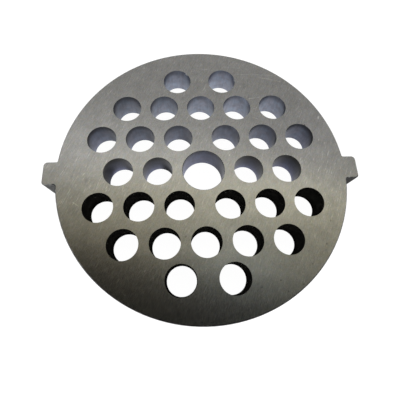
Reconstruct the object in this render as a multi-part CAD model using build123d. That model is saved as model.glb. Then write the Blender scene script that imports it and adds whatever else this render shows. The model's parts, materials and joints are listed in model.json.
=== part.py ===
"""Perforated plate of a domestic meat grinder, with two locating lugs.

One flat steel disc. The rotating knife wipes its upper face and the meat leaves
through the holes. The feed screw's stud turns in the central bore, and the two
lugs sit in slots in the mouth of the grinder's body and stop the plate turning.

Millimetres. The origin is on the bore's axis, at the lower face. +Z points up
out of the face that the knife wipes, and +X passes through a lug.
"""

import os

from build123d import *

# disc
disc_diameter = 54.0
plate_thickness = 5.4
edge_break = 0.2              # small chamfer round the outline, on both faces

# bore for the feed screw's stud
bore_diameter = 7.8
bore_edge_break = 0.1         # finer chamfer round the bore, on both faces

# lugs, as thick as the plate
lug_width = 4.5
lug_projection = 2.4          # beyond the disc's rim
lug_corner_radius = 0.7
lug_root_radius = 0.35        # fillet where a lug leaves the rim

# meat holes, in straight rows along X
hole_diameter = 5.5
hole_pitch = 7.25             # from hole to hole along a row
middle_gap = 9.15             # between the two middle holes of a row with no hole on the Y axis
bore_land = 1.85              # metal between the bore and the holes beside it
inner_row_pitch = 6.72        # from row to row
outer_row_pitch = 6.28        # to the last row, which is closer so that the rim keeps its width

# derived sizes
disc_radius = disc_diameter / 2
lug_tip_x = disc_radius + lug_projection
beside_bore_x = bore_diameter / 2 + bore_land + hole_diameter / 2

# height of each row above the middle one: X of its first hole right of the Y axis,
# how many follow it on that side, and whether there is a hole on the Y axis
rows = [
    (0.0, beside_bore_x, 2, False),
    (inner_row_pitch, middle_gap / 2, 3, False),
    (2 * inner_row_pitch, hole_pitch, 2, True),
    (2 * inner_row_pitch + outer_row_pitch, middle_gap / 2, 1, False),
]


def hole_centres():
    """Centres of all the meat holes, mirrored about both axes."""
    centres = []
    for row_y, first_x, holes_per_side, has_centre_hole in rows:
        for y in sorted({row_y, -row_y}):
            if has_centre_hole:
                centres.append((0.0, y))
            for i in range(holes_per_side):
                x = first_x + i * hole_pitch
                centres.append((x, y))
                centres.append((-x, y))
    return centres


def outline():
    """Disc with its two lugs, corners and roots rounded."""
    bar_length = 2 * lug_tip_x
    bar = Rectangle(bar_length, lug_width)
    bar = fillet(bar.vertices(), lug_corner_radius)
    face = Circle(disc_radius) + bar
    lug_roots = face.vertices().filter_by(lambda v: abs(Vector(v).length - disc_radius) < 0.01)
    return fillet(lug_roots, lug_root_radius)


def grinder_plate():
    """The whole plate. The meat holes keep the sharp edges that cut against the knife."""
    blank = extrude(outline(), plate_thickness)
    blank = chamfer(blank.faces().filter_by(Axis.Z).edges(), edge_break)

    blank -= extrude(Circle(bore_diameter / 2), plate_thickness)
    bore_rims = blank.edges().filter_by(GeomType.CIRCLE).filter_by(
        lambda rim: abs(rim.radius - bore_diameter / 2) < 0.01
    )
    blank = chamfer(bore_rims, bore_edge_break)

    meat_holes = Sketch() + Locations(*hole_centres()) * Circle(hole_diameter / 2)
    return blank - extrude(meat_holes, plate_thickness)


plate = grinder_plate()
plate.label = "grinder_plate"

os.makedirs("parts", exist_ok=True)
export_step(plate, "parts/grinder_plate.step")
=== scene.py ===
"""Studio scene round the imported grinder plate: camera, sweep, soft light and the steel's finishes.

Metres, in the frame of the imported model: the bore's axis is Z, the lower face is at Z = 0 and
the lugs lie along X. Sizes that are easier to read in millimetres are written as n * MM, and
the marks, the wall rows and the arguments of Graph.over are in millimetres throughout.
"""

import json
import math

import bpy
from mathutils import Euler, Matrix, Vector


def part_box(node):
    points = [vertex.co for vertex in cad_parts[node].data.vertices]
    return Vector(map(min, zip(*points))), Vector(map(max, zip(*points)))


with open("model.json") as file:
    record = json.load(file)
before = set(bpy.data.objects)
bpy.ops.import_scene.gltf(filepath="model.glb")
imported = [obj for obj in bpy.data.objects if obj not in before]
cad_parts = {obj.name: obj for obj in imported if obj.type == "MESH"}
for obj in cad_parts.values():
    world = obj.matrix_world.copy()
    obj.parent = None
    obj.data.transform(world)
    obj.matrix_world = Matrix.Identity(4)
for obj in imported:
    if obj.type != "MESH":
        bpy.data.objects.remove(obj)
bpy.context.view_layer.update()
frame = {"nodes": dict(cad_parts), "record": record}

MM = 0.001

# ---------------------------------------------------------------- the plate, from the frame
PLATE = "grinder_plate"
plate = frame["nodes"][PLATE]
_, plate_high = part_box(PLATE)
TOP_Z = plate_high.z
RIM_RADIUS = plate_high.y
bore_mount = next(m for m in frame["record"]["mounts"] if m["name"] == "bore")
BORE_RADIUS = bore_mount["dims"]["r_mm"] * MM

# ---------------------------------------------------------------- camera
CAMERA_PLACE = Vector((-3.31 * MM, -20.91 * MM, TOP_Z + 48.33 * MM))
CAMERA_TURN = (16.672, -2.056, -2.264)        # degrees about X, Y and Z
LENS = 25.32                                  # millimetres, on a sensor 36 wide
SENSOR_WIDTH = 36.0
SHIFT = (0.0011, 0.0088)

# ---------------------------------------------------------------- sweep
FLOOR_RADIUS = 1.0
COVE_RADIUS = 0.4
WALL_TOP = 1.05
WHITE_GLOW = 0.98           # what the camera and mirrors see of the sweep without any lamp
SHADE_ALBEDO = 0.12         # the share of the sweep that takes the object's shadow
BOUNCE_ALBEDO = 0.8         # how much light the sweep sends back to the object

# ---------------------------------------------------------------- tent of light
# Set out on a flat ceiling: across and away are how far a direction runs along X and Y for
# each unit that it climbs. Directions that climb less than LEAST_CLIMB count as climbing that.
LIGHT_LEVEL = 1.98          # a matt grey there renders at 0.93 of its colour as written
LEAST_CLIMB = 0.05

# The strip's brightness, by how far away it is. STRIP_TILT turns its bands, and to the sides it
# fades by the square of the distance from STRIP_MIDDLE, down to STRIP_SIDE_LEAST.
STRIP_TILT = 0.25
STRIP_MIDDLE = 0.07
STRIP_SIDE_FALL = 0.5
STRIP_SIDE_LEAST = 0.3
STRIP = [
    (-0.13, 0.012), (-0.05, 0.015), (0.035, 0.07), (0.118, 0.37), (0.20, 0.445),
    (0.284, 0.575), (0.366, 0.865), (0.449, 0.94), (0.532, 0.64), (0.615, 0.475),
    (0.78, 0.40), (0.95, 0.365), (1.10, 0.44),
]

# The strip's hue, by how far away it is. Its bands are turned less than those of brightness
# and bow towards the plate at the sides.
HUE_TILT = 0.06
HUE_BOW = 0.14
STRIP_HUE = [
    (-0.13, (1.0, 0.96, 0.80)), (0.15, (1.0, 0.94, 0.72)), (0.375, (1.0, 0.965, 0.77)),
    (0.44, (1.0, 0.985, 0.905)), (0.50, (1.0, 1.0, 0.99)), (1.10, (1.0, 0.995, 0.98)),
]
LOBES = [
    # soft patches on the strip: across, away; size; share added to red, green and blue
    ((0.14, 0.02), 0.28, (0.25, 0.33, 0.49)),
    ((0.24, -0.10), 0.48, (-0.04, 0.04, 0.15)),
    ((-0.35, 0.10), 0.24, (-0.28, -0.33, -0.38)),
    ((-0.28, 0.23), 0.25, (0.11, 0.11, 0.09)),
    ((0.46, 0.17), 0.34, (-0.29, -0.29, -0.29)),
    ((0.415, 0.34), 0.19, (0.38, 0.38, 0.36)),
    ((0.40, 0.52), 0.20, (-0.13, -0.13, -0.10)),
    ((0.58, 0.60), 0.22, (0.32, 0.32, 0.34)),
]

# Soft light all round, outside what the face reflects to the camera.
RING_AWAY = 0.43                              # its centre; across, it is at STRIP_MIDDLE
RING_FROM, RING_FULL = 0.95, 1.5              # how far from the centre it begins and is full
RING_LEVEL = 1.5
RING_LEAN = 0.35            # how much brighter the ring is behind the plate than in front of it
RING_HUE = (1.0, 0.99, 0.97)

# ---------------------------------------------------------------- steel and what lies on it
STEEL = (0.253, 0.250, 0.242)
FACE_ROUGHNESS = 0.195
RIM_STEEL = (0.12, 0.12, 0.125)
# painted shade: the dark grey of the lugs' sides
LUG_SHADE = (0.089, 0.091, 0.092)
EDGE_SCALE = (0.040, 0.041, 0.042)
EDGE_RUBBED = (0.18, 0.18, 0.175)
# painted shade on the near side's chamfers
EDGE_SHADE_BLACK = (0.008, 0.008, 0.008)
# painted highlight on the bore's near chamfer, in two tones mixed by noise
BORE_EDGE_HIGHLIGHT_DULL = (0.18, 0.19, 0.21)
BORE_EDGE_HIGHLIGHT = (0.26, 0.27, 0.295)
BORE_EDGE_FAR_DARK = (0.035, 0.037, 0.043)
# painted reflection: the bluish tint of the drilled walls
WALL_BLUE = (0.142, 0.158, 0.203)
WALL_PURPLE = (0.147, 0.150, 0.186)
BURR_STEEL = (0.62, 0.62, 0.60)
# painted shade: the near half's hole walls, almost black
NEAR_WALL_SHADE = (0.027, 0.0265, 0.0247)

GRAIN_ANGLE = math.radians(66.0)              # the grinding lines, from +X towards +Y
NOISE_LOW, NOISE_HIGH = 0.3, 0.7              # nearly all of a noise lies between these

# ---------------------------------------------------------------- walls of the holes
# Painted light and shade down the walls of each row, by its distance from the bore's axis (mm):
# brightness at the lower face, how quickly that falls on the way up, and the share left just
# under the knife face.
# The bore's own wall is the same at every distance.
DRILLED_ROWS = [
    (2.6, 0.82, 2.85, 0.05),
    (9.3, 0.92, 0.54, 0.60),
    (16.0, 1.68, 0.30, 0.68),
    (22.3, 1.84, 0.32, 0.72),
]
BORED_ROWS = [(distance, 0.66, 0.60, 0.62) for distance in (2.6, 20.0)]
# painted shade in the end of one hole
SHADE_PATCH = Vector((-18.6 * MM, -0.4 * MM, 2.0 * MM))     # in the end of one hole
BURRS = [
    # place (mm) and size (mm) of the bright burrs left by the drill at two holes' rims
    ((-2.6, 21.6), 0.5),
    ((7.2, 20.2), 0.65),
]

# ---------------------------------------------------------------- marks on the knife face
SCRATCHES = [
    # start, end (mm), width (mm), bow (mm), strength
    ((7.2, 21.4), (16.0, 21.0), 0.12, 0.15, 0.20),
    ((12.2, 20.6), (17.5, 19.3), 0.16, 0.15, 0.24),
    ((4.6, 23.4), (8.8, 22.9), 0.14, 0.10, 0.18),
    ((-1.0, 23.0), (3.0, 22.4), 0.14, 0.10, 0.15),
    ((9.6, 15.4), (12.2, 15.8), 0.16, 0.0, 0.38),
    ((10.5, 13.0), (11.4, 13.4), 0.15, 0.0, 0.26),
    ((9.9, 11.25), (11.5, 10.6), 0.14, 0.0, 0.26),
    ((-23.6, -5.5), (-22.2, -6.5), 0.13, 0.0, 0.30),
    ((-14.5, -20.9), (-13.5, -21.9), 0.14, 0.0, 0.35),
]
FLECKS = [
    # centre (mm), length along the grain and width (mm), strength (below 0 for a dark one)
    ((23.6, 10.85), 1.1, 0.5, 0.60),
    ((20.5, 15.2), 0.5, 0.35, 0.30),
    ((8.4, 18.45), 0.6, 0.4, 0.30),
    ((1.55, 9.1), 0.9, 0.35, 0.28),
    ((5.05, 2.9), 0.6, 0.3, 0.45),
    ((23.9, 5.1), 0.8, 0.35, 0.32),
    ((24.25, 2.95), 2.1, 0.25, 0.38),
    ((22.85, 5.85), 1.0, 0.25, 0.30),
    ((21.2, 1.7), 0.9, 0.35, 0.32),
    ((21.75, 1.25), 0.5, 0.3, 0.20),
    ((21.5, -3.4), 0.8, 0.6, 0.18),
    ((-24.25, -3.6), 1.9, 0.28, 0.36),
    ((-20.6, -2.8), 1.3, 0.28, 0.32),
    ((-19.3, -2.6), 1.4, 0.25, 0.24),
    ((-24.3, -7.3), 1.1, 0.25, 0.24),
    ((-23.9, 1.6), 0.9, 0.25, 0.16),
    ((-19.7, -11.8), 1.0, 0.4, 0.15),
    ((-10.6, -18.0), 0.5, 0.35, 0.55),
    ((-8.2, 16.8), 0.6, 0.4, 0.26),
    ((-18.4, 17.0), 0.5, 0.4, 0.22),
    ((-11.3, 23.1), 0.5, 0.4, 0.22),
    ((-24.0, -0.9), 1.2, 0.9, -0.10),
    ((-21.4, -1.6), 1.2, 0.9, -0.12),
    ((20.5, 9.15), 0.5, 0.45, -0.75),
    ((20.05, 9.35), 0.35, 0.3, -0.45),
    ((22.4, -10.4), 0.5, 0.4, -0.30),
    ((21.0, -14.5), 0.5, 0.45, -0.30),
    ((12.1, -20.3), 0.45, 0.4, -0.45),
    ((13.2, -22.1), 0.4, 0.35, -0.40),
    ((8.8, -21.3), 0.4, 0.35, -0.40),
    ((15.9, -21.1), 0.4, 0.35, -0.40),
    ((17.9, -17.8), 0.5, 0.4, -0.30),
    ((8.0, -6.6), 0.5, 0.4, -0.25),
    ((-3.6, -12.4), 0.6, 0.4, -0.30),
    ((17.6, -15.6), 0.4, 0.35, -0.25),
]


# ================================================================ node helpers
class Graph:
    """A shader graph, emptied, with short calls for the nodes used here."""

    def __init__(self, tree):
        tree.nodes.clear()
        self.nodes = tree.nodes
        self.links = tree.links

    def add(self, kind, **settings):
        node = self.nodes.new(kind)
        for name, value in settings.items():
            setattr(node, name, value)
        return node

    def put(self, value, socket):
        """Links an output to a socket, or sets the socket's own value."""
        if isinstance(value, bpy.types.NodeSocket):
            self.links.new(value, socket)
        elif value is not None:
            socket.default_value = value

    def object_place(self):
        """The shaded point in the plate's own frame."""
        return self.add("ShaderNodeTexCoord").outputs["Object"]

    # ---- numbers
    def math(self, operation, a, b=None, c=None):
        node = self.add("ShaderNodeMath", operation=operation)
        for value, socket in zip((a, b, c), node.inputs):
            self.put(value, socket)
        return node.outputs[0]

    def times(self, first, *others):
        """The product of all, worked out from the left."""
        for other in others:
            first = self.math("MULTIPLY", first, other)
        return first

    def total(self, first, *others):
        """The sum of all, worked out from the left."""
        for other in others:
            first = self.math("ADD", first, other)
        return first

    def less(self, value, taken):
        return self.math("SUBTRACT", value, taken)

    def rest(self, share):
        """What a share leaves of 1."""
        return self.less(1.0, share)

    def span(self, value, low, high, to_low=0.0, to_high=1.0, smooth=True):
        """Maps low..high to to_low..to_high, held at both ends."""
        kind = "SMOOTHSTEP" if smooth else "LINEAR"
        node = self.add("ShaderNodeMapRange", interpolation_type=kind)
        for v, socket in zip((value, low, high, to_low, to_high), node.inputs):
            self.put(v, socket)
        return node.outputs[0]

    def over(self, length, start, end, to_start=0.0, to_end=1.0, smooth=True):
        """The same for a length, from start to end in millimetres."""
        return self.span(length, start * MM, end * MM, to_start, to_end, smooth)

    def vary(self, noise, amount, middle=1.0, smooth=True):
        """A noise as a number that goes amount either way from middle."""
        return self.span(noise, NOISE_LOW, NOISE_HIGH, middle - amount, middle + amount, smooth)

    # ---- vectors
    def vector(self, operation, a, b=None, out=0):
        node = self.add("ShaderNodeVectorMath", operation=operation)
        self.put(a, node.inputs[0])
        self.put(b, node.inputs[1])
        return node.outputs[out]

    def length(self, vector):
        return self.vector("LENGTH", vector, out=1)

    def parts(self, vector):
        node = self.add("ShaderNodeSeparateXYZ")
        self.put(vector, node.inputs[0])
        return node.outputs

    def join(self, x, y, z):
        node = self.add("ShaderNodeCombineXYZ")
        for value, socket in zip((x, y, z), node.inputs):
            self.put(value, socket)
        return node.outputs[0]

    def turn(self, vector, angle):
        """A vector turned about Z."""
        node = self.add("ShaderNodeVectorRotate", rotation_type="Z_AXIS")
        self.put(vector, node.inputs["Vector"])
        self.put(angle, node.inputs["Angle"])
        return node.outputs[0]

    def noise(self, vector, size=1.0, detail=2.0, roughness=0.5):
        """Noise whose broadest features are about size long."""
        node = self.add("ShaderNodeTexNoise")
        self.put(vector, node.inputs["Vector"])
        self.put(1 / size, node.inputs["Scale"])
        self.put(detail, node.inputs["Detail"])
        self.put(roughness, node.inputs["Roughness"])
        return node.outputs["Fac"]

    # ---- colours
    def mix(self, factor, a, b, blend="MIX"):
        """Mixes two colours."""
        node = self.add("ShaderNodeMix", data_type="RGBA", blend_type=blend)
        self.put(factor, node.inputs[0])
        self.put(a if isinstance(a, bpy.types.NodeSocket) else rgba(a), node.inputs[6])
        self.put(b if isinstance(b, bpy.types.NodeSocket) else rgba(b), node.inputs[7])
        return node.outputs[2]

    def scaled(self, colour, factor):
        """A colour times a number."""
        node = self.add("ShaderNodeVectorMath", operation="SCALE")
        self.put(colour, node.inputs[0])
        self.put(factor, node.inputs["Scale"])
        return node.outputs[0]

    def ramp(self, factor, stops):
        node = self.add("ShaderNodeValToRGB")
        node.color_ramp.interpolation = "LINEAR"
        elements = node.color_ramp.elements
        while len(elements) < len(stops):
            elements.new(0.5)
        for element, (place, colour) in zip(elements, stops):
            element.position = place
            element.color = rgba(colour)
        self.put(factor, node.inputs[0])
        return node.outputs[0]

    # ---- surface
    def bump(self, height, distance, strength):
        node = self.add("ShaderNodeBump")
        self.put(strength, node.inputs["Strength"])
        self.put(distance, node.inputs["Distance"])
        self.put(height, node.inputs["Height"])
        return node.outputs[0]

    def steel(self, colour, roughness, normal, metallic=1.0, specular=0.5):
        """Ends the graph in a surface of steel, or of what covers it when not metallic."""
        shader = self.add("ShaderNodeBsdfPrincipled")
        self.put(colour, shader.inputs["Base Color"])
        self.put(roughness, shader.inputs["Roughness"])
        self.put(normal, shader.inputs["Normal"])
        self.put(metallic, shader.inputs["Metallic"])
        self.put(specular, shader.inputs["Specular IOR Level"])
        self.put(shader.outputs[0], self.add("ShaderNodeOutputMaterial").inputs[0])


def rgba(colour):
    return (*colour, 1.0)


def on_face(x, y):
    """A place on the knife face, given in millimetres."""
    return Vector((x * MM, y * MM, 0.0))


def new_material(name):
    material = bpy.data.materials.new(name)
    material.use_nodes = True
    return material, Graph(material.node_tree)


# ================================================================ the ground faces
def streaks(graph, space, length, width, detail=2.0, seed=0.0):
    """Noise stretched along X into short lines of about that length and width."""
    scaled = graph.vector("MULTIPLY", space, (1 / length, 1 / width, 1 / length))
    return graph.noise(graph.vector("ADD", scaled, (seed, 2 * seed, 0.0)), detail=detail)


def scratch_mask(graph, place, start, end, width, bow):
    """One fine scratch from start to end; bow is how far its middle bows out."""
    full_width, full_length = 0.3, 0.7        # the shares of each at full strength
    run = end - start
    from_centre = graph.vector("SUBTRACT", place, (start + end) / 2)
    x, y, _ = graph.parts(graph.turn(from_centre, -math.atan2(run.y, run.x)))
    reach = graph.math("DIVIDE", x, run.length / 2)
    bowed = graph.times(graph.rest(graph.times(reach, reach)), bow)
    side = graph.math("ABSOLUTE", graph.less(y, bowed))
    across = graph.span(side, width, full_width * width)
    return graph.times(across, graph.span(graph.math("ABSOLUTE", reach), 1.0, full_length))


def fleck_mask(graph, along_grain, centre, length, width):
    """One small mark, as long as length along the grain."""
    full_core = 0.4                           # the share of its size at full strength
    turned = centre.copy()
    turned.rotate(Euler((0.0, 0.0, -GRAIN_ANGLE)))
    from_centre = graph.vector("SUBTRACT", along_grain, turned)
    round_mark = graph.vector("MULTIPLY", from_centre, (2 / length, 2 / width, 0.0))
    return graph.span(graph.length(round_mark), 1.0, full_core)


def knife_marks(graph, flat, along_grain):
    """The scratches, broken here and there, and the flecks, as a share of the steel's tone."""
    marks = 0.0
    for start, end, width, bow, strength in SCRATCHES:
        line = scratch_mask(graph, flat, on_face(*start), on_face(*end), width * MM, bow * MM)
        marks = graph.math("MULTIPLY_ADD", line, strength, marks)
    gaps = graph.noise(flat, size=0.9 * MM)
    marks = graph.times(marks, graph.span(gaps, 0.30, 0.55, 0.25, 1.0))
    for centre, length, width, strength in FLECKS:
        fleck = fleck_mask(graph, along_grain, on_face(*centre), length * MM, width * MM)
        marks = graph.math("MULTIPLY_ADD", fleck, strength, marks)
    return marks


def knife_strokes(graph, flat, along_grain):
    """The brightest of short strokes, up to twice as strong near the two lugs, where the extra is a
    painted glint.
    """
    least, more_by_lugs = 0.35, 0.35
    glint_band_y = -4.0 * MM
    strokes = streaks(graph, along_grain, 1.6 * MM, 0.20 * MM, detail=1.0, seed=31.0)
    brightest = graph.span(strokes, 0.58, 0.82)
    x, y, _ = graph.parts(flat)
    # painted glint: the strokes brighten near the lugs, along the bright band of reflected light
    near_rim = graph.over(graph.math("ABSOLUTE", x), 12.0, 20.0)
    near_lugs = graph.over(graph.math("ABSOLUTE", graph.less(y, glint_band_y)), 9.0, 3.0)
    glint_near_lugs = graph.times(near_rim, near_lugs)
    return graph.times(brightest, graph.math("MULTIPLY_ADD", glint_near_lugs, more_by_lugs, least))


def face_tint(graph, flat):
    """Faint grains of red and blue in the steel."""
    grain, detail = 0.6 * MM, 1.0
    elsewhere = graph.vector("ADD", flat, (0.3, 0.1, 0.0))    # another part of the same noise
    red = graph.vary(graph.noise(flat, grain, detail), 0.04, smooth=False)
    blue = graph.vary(graph.noise(elsewhere, grain, detail), 0.055, smooth=False)
    return graph.join(red, 1.0, blue)


def face_material():
    """Surface-ground steel: short straight lines at one angle, scratches from the knife, pits."""
    material, graph = new_material("ground_face")
    flat = graph.vector("MULTIPLY", graph.object_place(), (1.0, 1.0, 0.0))
    along_grain = graph.turn(flat, -GRAIN_ANGLE)

    fine = streaks(graph, along_grain, 0.9 * MM, 0.13 * MM, detail=3.0)
    broad = streaks(graph, along_grain, 2.2 * MM, 0.35 * MM, seed=7.0)
    grit = graph.noise(flat, size=0.28 * MM, detail=1.0)
    cloud = graph.noise(flat, size=2.2 * MM)
    tone = graph.total(
        graph.vary(fine, 0.10, smooth=False),
        graph.vary(broad, 0.055, middle=0.0, smooth=False),
        graph.vary(grit, 0.06, middle=0.0, smooth=False),
        graph.vary(cloud, 0.078, middle=0.0, smooth=False),
        knife_strokes(graph, flat, along_grain),
        knife_marks(graph, flat, along_grain),
    )
    colour = graph.scaled(graph.vector("MULTIPLY", face_tint(graph, flat), STEEL), tone)
    roughness = graph.vary(fine, 0.035, middle=FACE_ROUGHNESS, smooth=False)
    height = graph.math("MULTIPLY_ADD", broad, 0.6, fine)
    graph.steel(colour, roughness, graph.bump(height, 0.0045 * MM, strength=0.9))
    return material


# ================================================================ rim, lugs and edges
def rim_material():
    """Turned rim in dark steel, with fine lines round it."""
    material, graph = new_material("dark_rim")
    place = graph.object_place()
    x, y, z = graph.parts(place)
    round_rim = graph.times(graph.math("ARCTAN2", y, x), RIM_RADIUS)
    lines = streaks(graph, graph.join(round_rim, z, 0.0), 9.0 * MM, 0.12 * MM, detail=3.0)
    cloud = graph.noise(place, size=2.38095 * MM, detail=4.0, roughness=0.6)
    mottle = graph.span(cloud, 0.35, 0.65, 0.8, 1.2)
    colour = graph.scaled(RIM_STEEL, graph.times(graph.vary(lines, 0.18, smooth=False), mottle))
    roughness = graph.vary(cloud, 0.07, middle=0.43)
    graph.steel(colour, roughness, graph.bump(lines, 0.006 * MM, strength=0.6))
    return material


def lug_material():
    """Sides of the lugs, dull and painted dark as shade, darker still on the right lug as more
    painted shade.
    """
    material, graph = new_material("shade_darkened_lug")
    place = graph.object_place()
    x, _, _ = graph.parts(place)
    cloud = graph.noise(place, size=1.2 * MM, detail=4.0, roughness=0.6)
    # painted shade, much stronger on the right lug
    shade_to_right = graph.over(x, -5.0, 5.0, 1.0, 0.17)
    colour = graph.scaled(LUG_SHADE, graph.times(shade_to_right, graph.vary(cloud, 0.2)))
    normal = graph.bump(cloud, 0.02 * MM, strength=0.5)
    graph.steel(colour, 0.5, normal, metallic=0.0, specular=0.05)
    return material


def edge_material():
    """The outline's chamfers: scale rubbed through in places, and painted shade, near black, on the
    near side.
    """
    material, graph = new_material("rubbed_and_shaded_edge")
    place = graph.object_place()
    _, y, _ = graph.parts(place)
    cloud = graph.noise(place, size=0.9 * MM, detail=3.0, roughness=0.6)
    scale = graph.mix(graph.span(cloud, 0.45, 0.62), EDGE_SCALE, EDGE_RUBBED)
    # painted shade: the chamfers turn near black towards the near side
    near_side_shade = graph.over(y, -12.0, -23.0)
    colour = graph.mix(near_side_shade, scale, EDGE_SHADE_BLACK)
    graph.steel(colour, 0.45, graph.bump(cloud, 0.02 * MM, strength=0.4), specular=0.1)
    return material


def bore_edge_material():
    """The bore's chamfers: a mottled painted highlight on the near side, and dark beyond."""
    material, graph = new_material("bore_edge_highlight")
    place = graph.object_place()
    _, y, _ = graph.parts(place)
    cloud = graph.noise(place, size=1.1 * MM, detail=3.0)
    # painted highlight along the bore's near edge
    turned = graph.mix(graph.span(cloud, 0.35, 0.65), BORE_EDGE_HIGHLIGHT_DULL, BORE_EDGE_HIGHLIGHT)
    far_side = graph.over(y, -1.0, 1.5)
    colour = graph.mix(far_side, turned, BORE_EDGE_FAR_DARK)
    normal = graph.bump(cloud, 0.01 * MM, strength=0.4)
    graph.steel(colour, 0.5, normal, metallic=0.0, specular=0.2)
    return material


# ================================================================ walls of the holes
class WallPoint:
    """The shaded point of a wall, and how much the wall faces +X there."""

    def __init__(self, graph):
        self.place = graph.object_place()
        self.x, self.y, self.z = graph.parts(self.place)
        normal = graph.add("ShaderNodeNewGeometry").outputs["Normal"]
        self.facing_x, _, _ = graph.parts(normal)


def row_light(graph, at, rows, side_fall):
    """Painted light by row and height, and the share of it left just under the knife face."""
    lowest_unit, fall_unit = 2.0, 4.0         # keep what the ramp holds within 1
    nearest, furthest = rows[0][0], rows[-1][0]
    stops = [
        ((row - nearest) / (furthest - nearest), (lowest / lowest_unit, fall / fall_unit, left))
        for row, lowest, fall, left in rows
    ]
    ramp = graph.ramp(graph.over(at.y, nearest, furthest, smooth=False), stops)
    lowest_share, fall_share, left = graph.parts(ramp)
    lowest = graph.times(lowest_share, lowest_unit)
    fall = graph.times(fall_share, fall_unit)

    # beyond the bore the light falls more quickly towards the left
    to_left = graph.over(at.x, -16.0, 2.0, 2.0, -0.5)
    beyond_bore = graph.over(at.y, 4.0, 14.0)
    fall = graph.math("MULTIPLY_ADD", graph.times(to_left, beyond_bore), side_fall, fall)
    height = graph.span(at.z, 0.0, TOP_Z, smooth=False)
    drop = graph.times(height, graph.times(fall, -1.0))
    return graph.times(lowest, graph.math("EXPONENT", drop)), left


def rim_shade(graph, at, left):
    """Painted shade just under the knife face: the share of light left there, where left is its
    value for the row.

    Beyond the bore the walls that face -X keep more, and the ends of the rows keep less.
    """
    least_left = 0.02
    end_loss = 0.2
    shade_from, shade_full = TOP_Z - 1.7 * MM, TOP_Z - 0.3 * MM
    to_row_end = graph.over(graph.math("ABSOLUTE", at.x), 8.0, 21.0)
    facing_left = graph.span(at.facing_x, -0.3, -0.75, 0.0, 1.9)
    beyond_bore = graph.over(at.y, 4.0, 6.5)
    less_in_last_row = graph.over(at.y, 17.0, 20.0, 1.0, 0.3)
    lit = graph.times(facing_left, beyond_bore, less_in_last_row, graph.rest(to_row_end))
    lost = graph.times(graph.rest(left), graph.rest(lit))
    lost = graph.math("MULTIPLY_ADD", to_row_end, end_loss, lost)
    left_here = graph.math("MAXIMUM", graph.rest(lost), least_left)
    return graph.span(at.z, shade_from, shade_full, 1.0, left_here)


def along_row_light(graph, at, side_fall):
    """Painted shade: the far rows grow darker to both sides of a place right of the middle."""
    brightest_x, half_row = 6.0 * MM, 19.0 * MM
    level = 1.05
    far_rows = graph.over(at.y, 8.0, 13.0, 0.0, -side_fall)
    aside = graph.math("DIVIDE", graph.less(at.x, brightest_x), half_row)
    return graph.math("MULTIPLY_ADD", graph.times(aside, aside), far_rows, level)


def facing_light(graph, at, facing):
    """Painted light: walls that face +X are lighter, most of all at the left and in the nearer rows.
    """
    level = 0.92
    by_column = graph.over(at.x, -19.0, 19.0, 1.5 * facing, 0.5 * facing, smooth=False)
    by_row = graph.over(at.y, 8.0, 14.0, 1.25, 1.0)
    return graph.math("MULTIPLY_ADD", at.facing_x, graph.times(by_column, by_row), level)


def wall_painted_shade(graph, at, shade_facing, shade_from_x):
    """How much of a wall is darkened by painted shade, low on walls that face -X, and one patch more
    in the end of one hole.
    """
    begins, full = shade_facing
    facing_left = graph.span(at.facing_x, -begins, -full)
    low_on_wall = graph.over(at.z, 4.5, 0.6)
    left_holes = graph.over(at.x, shade_from_x, -4.0)
    weaker_at_left = graph.over(at.x, -16.0, -8.0, 0.48, 0.75)
    near_bore_row = graph.over(at.y, 13.0, 3.0)
    painted_shade = graph.times(facing_left, low_on_wall, left_holes, weaker_at_left, near_bore_row)
    from_patch = graph.length(graph.vector("SUBTRACT", at.place, SHADE_PATCH))
    patch = graph.over(from_patch, 3.6, 2.0, 0.0, 0.56)
    return graph.math("MAXIMUM", painted_shade, patch)


def bluish_reflection_tint(graph, at):
    """Mottled blue and purple, a painted reflection of bluish light, bluer in the row of the bore.
    """
    elsewhere = graph.vector("ADD", at.place, (0.2, 0.0, 0.0))    # another part of the noise
    mottle = graph.noise(elsewhere, size=1.1 * MM, detail=3.0)
    colour = graph.mix(graph.span(mottle, 0.38, 0.62), WALL_BLUE, WALL_PURPLE)
    bluer = graph.join(1.0, 1.02, graph.over(at.y, 0.0, 13.0, 1.33, 1.0))
    return graph.vector("MULTIPLY", colour, bluer)


def wall_material(name, rows, facing, side_fall, shade_facing, shade_from_x):
    """Drilled walls: mottled blue and purple, a painted reflection, with painted shade under the
    knife face and painted light towards the outlet.

    facing is how much lighter the walls are that face +X, and side_fall how much darker the
    far rows are towards the ends, both painted light and shade. shade_facing gives how much a
    wall faces -X where the painted shade begins and where it is full, and shade_from_x the X
    (mm) where it begins.
    """
    full_burr = 0.6                           # the share of a burr's size at full strength
    material, graph = new_material(name)
    at = WallPoint(graph)
    cloud = graph.noise(at.place, size=1.2 * MM, detail=3.0)
    line_width, line_length = 0.3 * MM, 3.0 * MM
    drawn_out = (1 / line_width, 1 / line_width, 1 / line_length)
    lines = graph.noise(graph.vector("MULTIPLY", at.place, drawn_out))
    light, left = row_light(graph, at, rows, side_fall)
    # painted shade low on walls that face -X; where it lies the wall is also not metallic
    painted_shade = wall_painted_shade(graph, at, shade_facing, shade_from_x)
    # the wall's tone: painted light and shade by row, height, side and facing, over random mottle
    tone = graph.times(
        light,
        rim_shade(graph, at, left),
        along_row_light(graph, at, side_fall),
        facing_light(graph, at, facing),
        graph.rest(painted_shade),
        graph.vary(cloud, 0.14),
        graph.vary(lines, 0.07),
    )
    colour = graph.scaled(bluish_reflection_tint(graph, at), tone)
    for (x, y), size in BURRS:
        from_burr = graph.length(graph.vector("SUBTRACT", at.place, (x * MM, y * MM, TOP_Z)))
        colour = graph.mix(graph.over(from_burr, size, full_burr * size), colour, BURR_STEEL)
    normal = graph.bump(graph.total(lines, cloud), 0.01 * MM, strength=0.35)
    graph.steel(colour, 0.42, normal, metallic=graph.rest(painted_shade), specular=0.0)
    return material


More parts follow.
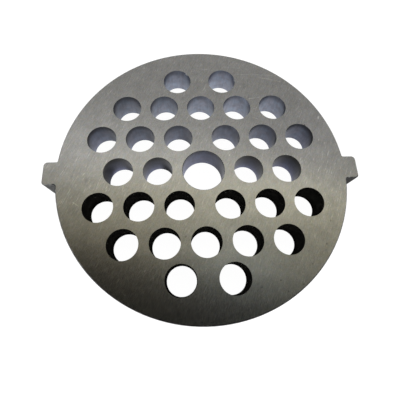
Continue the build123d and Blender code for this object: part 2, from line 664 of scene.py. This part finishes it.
def dark_wall_material():
    """Walls of the holes on the near half, painted almost black as shade, darkest under the knife
    face.
    """
    material, graph = new_material("shade_black_wall")
    place = graph.object_place()
    _, _, z = graph.parts(place)
    cloud = graph.noise(place, size=1.4 * MM, detail=3.0)
    up_the_wall = graph.span(z, 0.0, TOP_Z, 1.0, 0.25)
    colour = graph.scaled(NEAR_WALL_SHADE, graph.times(up_the_wall, graph.vary(cloud, 0.25)))
    normal = graph.bump(cloud, 0.02 * MM, strength=0.3)
    graph.steel(colour, 0.6, normal, metallic=0.0, specular=0.0)
    return material


def dress_plate():
    """Gives every facet of the plate the finish of the surface that it belongs to."""
    finishes = [
        face_material(),
        rim_material(),
        lug_material(),
        edge_material(),
        bore_edge_material(),
        wall_material(
            "drilled_wall", DRILLED_ROWS, facing=0.19, side_fall=0.25,
            shade_facing=(-0.1, 0.5), shade_from_x=4.0,
        ),
        wall_material(
            "bored_wall", BORED_ROWS, facing=0.38, side_fall=0.0,
            shade_facing=(0.45, 1.0), shade_from_x=10.0,
        ),
        dark_wall_material(),
    ]
    FACE, RIM, LUG, EDGE, BORE_EDGE, WALL, BORE, DARK_WALL = range(len(finishes))
    mesh = plate.data
    mesh.materials.clear()
    for material in finishes:
        mesh.materials.append(material)

    # how far a facet's normal points up or down, and its centre's distance from the bore's axis
    nearly_flat = 0.98
    nearly_upright = 0.05
    bore_edge_within = 2 * BORE_RADIUS
    bore_within = 1.05 * BORE_RADIUS
    rim_from = 0.97 * RIM_RADIUS
    lug_from = 1.003 * RIM_RADIUS
    dark_from_y = -BORE_RADIUS + 0.3 * MM
    for facet in mesh.polygons:
        steepness = abs(facet.normal.z)
        radius = math.hypot(facet.center.x, facet.center.y)
        if steepness > nearly_flat:
            facet.material_index = FACE
        elif steepness > nearly_upright:
            facet.material_index = BORE_EDGE if radius <= bore_edge_within else EDGE
        elif radius > lug_from:
            facet.material_index = LUG
        elif radius > rim_from:
            facet.material_index = RIM
        elif radius < bore_within:
            facet.material_index = BORE
        elif facet.center.y < dark_from_y:
            facet.material_index = DARK_WALL
        else:
            facet.material_index = WALL


# ================================================================ studio
def diffuse(graph, albedo):
    shader = graph.add("ShaderNodeBsdfDiffuse")
    graph.put(rgba((albedo,) * 3), shader.inputs["Color"])
    return shader.outputs[0]


def sweep_material():
    """White to the camera and in the metal, and still taking the object's soft shadow."""
    material, graph = new_material("studio_white")
    ray = graph.add("ShaderNodeLightPath").outputs
    seen = graph.math("MAXIMUM", ray["Is Camera Ray"], ray["Is Glossy Ray"])
    seen = graph.math("MAXIMUM", seen, ray["Is Transmission Ray"])
    glow = graph.add("ShaderNodeEmission")
    graph.put(WHITE_GLOW, glow.inputs["Strength"])
    white = graph.add("ShaderNodeAddShader")
    graph.put(glow.outputs[0], white.inputs[0])
    graph.put(diffuse(graph, SHADE_ALBEDO), white.inputs[1])
    choice = graph.add("ShaderNodeMixShader")
    graph.put(seen, choice.inputs[0])
    graph.put(diffuse(graph, BOUNCE_ALBEDO), choice.inputs[1])
    graph.put(white.outputs[0], choice.inputs[2])
    graph.put(choice.outputs[0], graph.add("ShaderNodeOutputMaterial").inputs[0])
    return material


def make_sweep():
    """A round floor that curves up into a wall, seen from every side."""
    cove_steps = 12
    turn_steps = 96
    inner_radius = 0.2
    profile = [(inner_radius, 0.0), (FLOOR_RADIUS, 0.0)]       # radius and height of each ring
    for i in range(1, cove_steps + 1):
        a = math.pi / 2 * i / cove_steps
        profile.append((FLOOR_RADIUS + COVE_RADIUS * math.sin(a), COVE_RADIUS * (1 - math.cos(a))))
    profile.append((FLOOR_RADIUS + COVE_RADIUS, WALL_TOP))
    vertices = [(0.0, 0.0, 0.0)]
    for radius, height in profile:
        for j in range(turn_steps):
            a = 2 * math.pi * j / turn_steps
            vertices.append((radius * math.cos(a), radius * math.sin(a), height))
    faces = []
    for j in range(turn_steps):
        k = (j + 1) % turn_steps
        faces.append((0, 1 + j, 1 + k))
        for ring in range(len(profile) - 1):
            inner = 1 + ring * turn_steps
            outer = inner + turn_steps
            faces.append((inner + j, outer + j, outer + k, inner + k))
    mesh = bpy.data.meshes.new("studio_sweep")
    mesh.from_pydata(vertices, [], faces)
    mesh.polygons.foreach_set("use_smooth", [True] * len(mesh.polygons))
    mesh.materials.append(sweep_material())
    sweep = bpy.data.objects.new("studio_sweep", mesh)
    bpy.context.scene.collection.objects.link(sweep)


def along_strip(graph, place, stops):
    """A ramp over the strip from its first place to its last."""
    first, last = STRIP[0][0], STRIP[-1][0]
    shares = [((stop - first) / (last - first), colour) for stop, colour in stops]
    return graph.ramp(graph.span(place, first, last, smooth=False), shares)


def strip_light(graph, across, away):
    """The bright strip beyond the plate, with the dark opening straight above it."""
    tilted = graph.math("MULTIPLY_ADD", across, STRIP_TILT, away)
    level = along_strip(graph, tilted, [(stop, (value,) * 3) for stop, value in STRIP])
    aside = graph.less(across, STRIP_MIDDLE)
    aside_squared = graph.times(aside, aside)
    hue_place = graph.math("MULTIPLY_ADD", across, HUE_TILT, away)
    hue_place = graph.math("MULTIPLY_ADD", aside_squared, HUE_BOW, hue_place)
    coloured = graph.mix(1.0, level, along_strip(graph, hue_place, STRIP_HUE), "MULTIPLY")
    fade = graph.math("MULTIPLY_ADD", aside_squared, -STRIP_SIDE_FALL, 1.0)
    strip = graph.scaled(coloured, graph.math("MAXIMUM", fade, STRIP_SIDE_LEAST))
    for (lobe_across, lobe_away), size, gain in LOBES:
        off = graph.join(graph.less(across, lobe_across), graph.less(away, lobe_away), 0.0)
        near = graph.span(graph.length(off), 0.0, size, 1.0, 0.0)
        factor = graph.vector("ADD", graph.scaled(gain, near), (1.0, 1.0, 1.0))
        strip = graph.vector("MULTIPLY", strip, factor)
    return strip


def ring_light(graph, across, away, y):
    """Soft light all round, brighter behind the plate."""
    off = graph.join(graph.less(across, STRIP_MIDDLE), graph.less(away, RING_AWAY), 0.0)
    ring = graph.span(graph.length(off), RING_FROM, RING_FULL, 0.0, RING_LEVEL)
    lean = graph.math("MULTIPLY_ADD", y, RING_LEAN, 1.0)
    return graph.scaled(RING_HUE, graph.times(ring, lean))


def light_world():
    """A tent of soft light: the strip and the ring round it."""
    world = bpy.data.worlds.new("studio_tent")
    bpy.context.scene.world = world
    world.use_nodes = True
    graph = Graph(world.node_tree)
    x, y, z = graph.parts(graph.add("ShaderNodeTexCoord").outputs["Generated"])
    climb = graph.math("MAXIMUM", z, LEAST_CLIMB)
    across = graph.math("DIVIDE", x, climb)
    away = graph.math("DIVIDE", y, climb)
    strip = strip_light(graph, across, away)
    background = graph.add("ShaderNodeBackground")
    light = graph.vector("ADD", strip, ring_light(graph, across, away, y))
    graph.put(light, background.inputs["Color"])
    graph.put(LIGHT_LEVEL, background.inputs["Strength"])
    graph.put(background.outputs[0], graph.add("ShaderNodeOutputWorld").inputs[0])


def place_camera():
    data = bpy.data.cameras.new("photo_view")
    data.lens = LENS
    data.sensor_width = SENSOR_WIDTH
    data.sensor_fit = "HORIZONTAL"
    data.shift_x, data.shift_y = SHIFT
    data.clip_start = 1 * MM
    camera = bpy.data.objects.new("photo_view", data)
    camera.location = CAMERA_PLACE
    camera.rotation_euler = [math.radians(a) for a in CAMERA_TURN]
    bpy.context.scene.collection.objects.link(camera)
    bpy.context.scene.camera = camera


dress_plate()
make_sweep()
light_world()
place_camera()
bpy.context.scene.view_settings.view_transform = "Standard"
